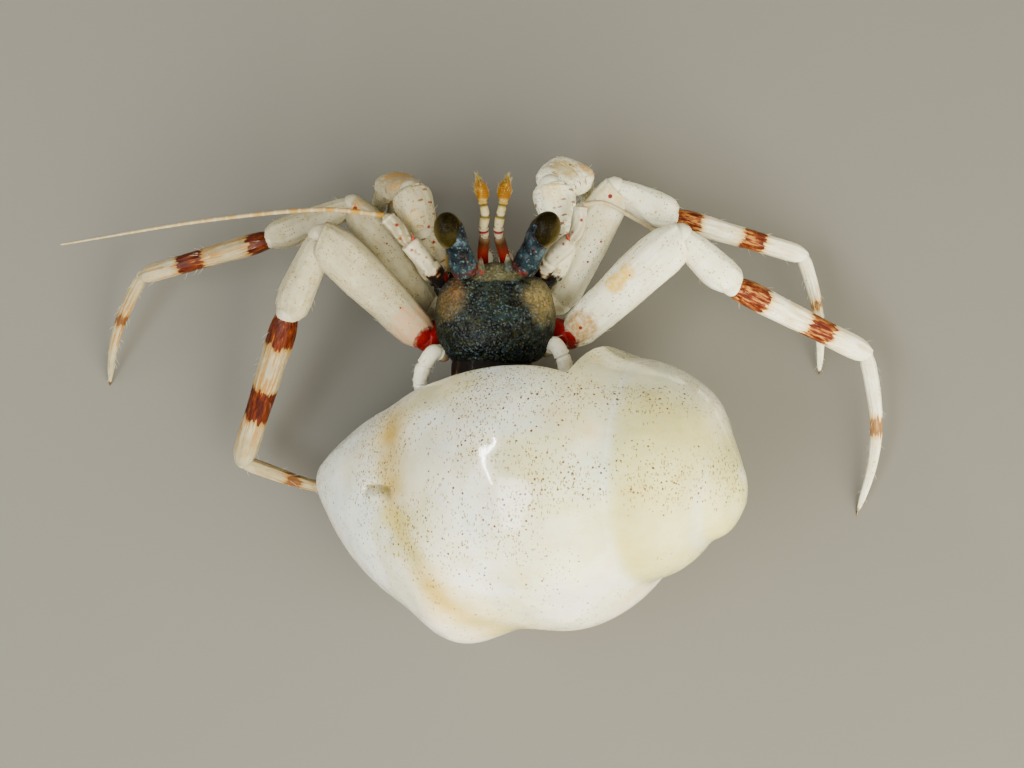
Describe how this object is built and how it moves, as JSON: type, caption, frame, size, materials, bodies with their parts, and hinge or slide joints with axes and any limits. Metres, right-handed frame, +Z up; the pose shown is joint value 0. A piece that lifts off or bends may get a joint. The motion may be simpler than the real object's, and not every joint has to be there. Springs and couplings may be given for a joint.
{
  "type": "hermit crab",
  "caption": "Small marine hermit crab walking in a worn white whelk shell, pale banded legs spread, dark teal shield, stalked olive eyes: a still, life-size museum model.",
  "frame": {"origin": "floor level, below the middle of the animal's bounding box", "axes": "-Y towards the head, +X towards the animal's left, +Z up"},
  "size_m": [0.042, 0.0242, 0.0144],
  "materials": {
    "shell": "worn, glossy",
    "shield": "granular, satin",
    "limb": "satin, slightly translucent",
    "eyestalk": "satin",
    "cornea": "glossy",
    "antennule": "satin",
    "feeler": "satin",
    "soft_body": "moist"
  },
  "bodies": {
    "root": {"shell": "shell", "shield": "shield", "trunk": "soft_body", "eyestalk_left": "eyestalk", "cornea_left": "cornea", "antennule_stem_left": "antennule", "antennule_whip_left": "feeler", "antenna_stem_left": "limb", "antenna_whip_left": "feeler", "mouth_leg_left": "limb", "leg4_left": "limb", "cheliped_left_coxa": "limb", "cheliped_left_merus": "limb", "cheliped_left_carpus": "limb", "cheliped_left_palm": "limb", "cheliped_left_finger": "limb", "leg2_left_coxa": "limb", "leg2_left_merus": "limb", "leg2_left_carpus": "limb", "leg2_left_propodus": "limb", "leg2_left_dactylus": "limb", "leg3_left_coxa": "limb", "leg3_left_merus": "limb", "leg3_left_carpus": "limb", "leg3_left_propodus": "limb", "leg3_left_dactylus": "limb", "eyestalk_right": "eyestalk", "cornea_right": "cornea", "antennule_stem_right": "antennule", "antennule_whip_right": "feeler", "antenna_stem_right": "limb", "antenna_whip_right": "feeler", "mouth_leg_right": "limb", "leg4_right": "limb", "cheliped_right_coxa": "limb", "cheliped_right_merus": "limb", "cheliped_right_carpus": "limb", "cheliped_right_palm": "limb", "cheliped_right_finger": "limb", "leg2_right_coxa": "limb", "leg2_right_merus": "limb", "leg2_right_carpus": "limb", "leg2_right_propodus": "limb", "leg2_right_dactylus": "limb", "leg3_right_coxa": "limb", "leg3_right_merus": "limb", "leg3_right_carpus": "limb", "leg3_right_propodus": "limb", "leg3_right_dactylus": "limb"}
  },
  "joints": []
}
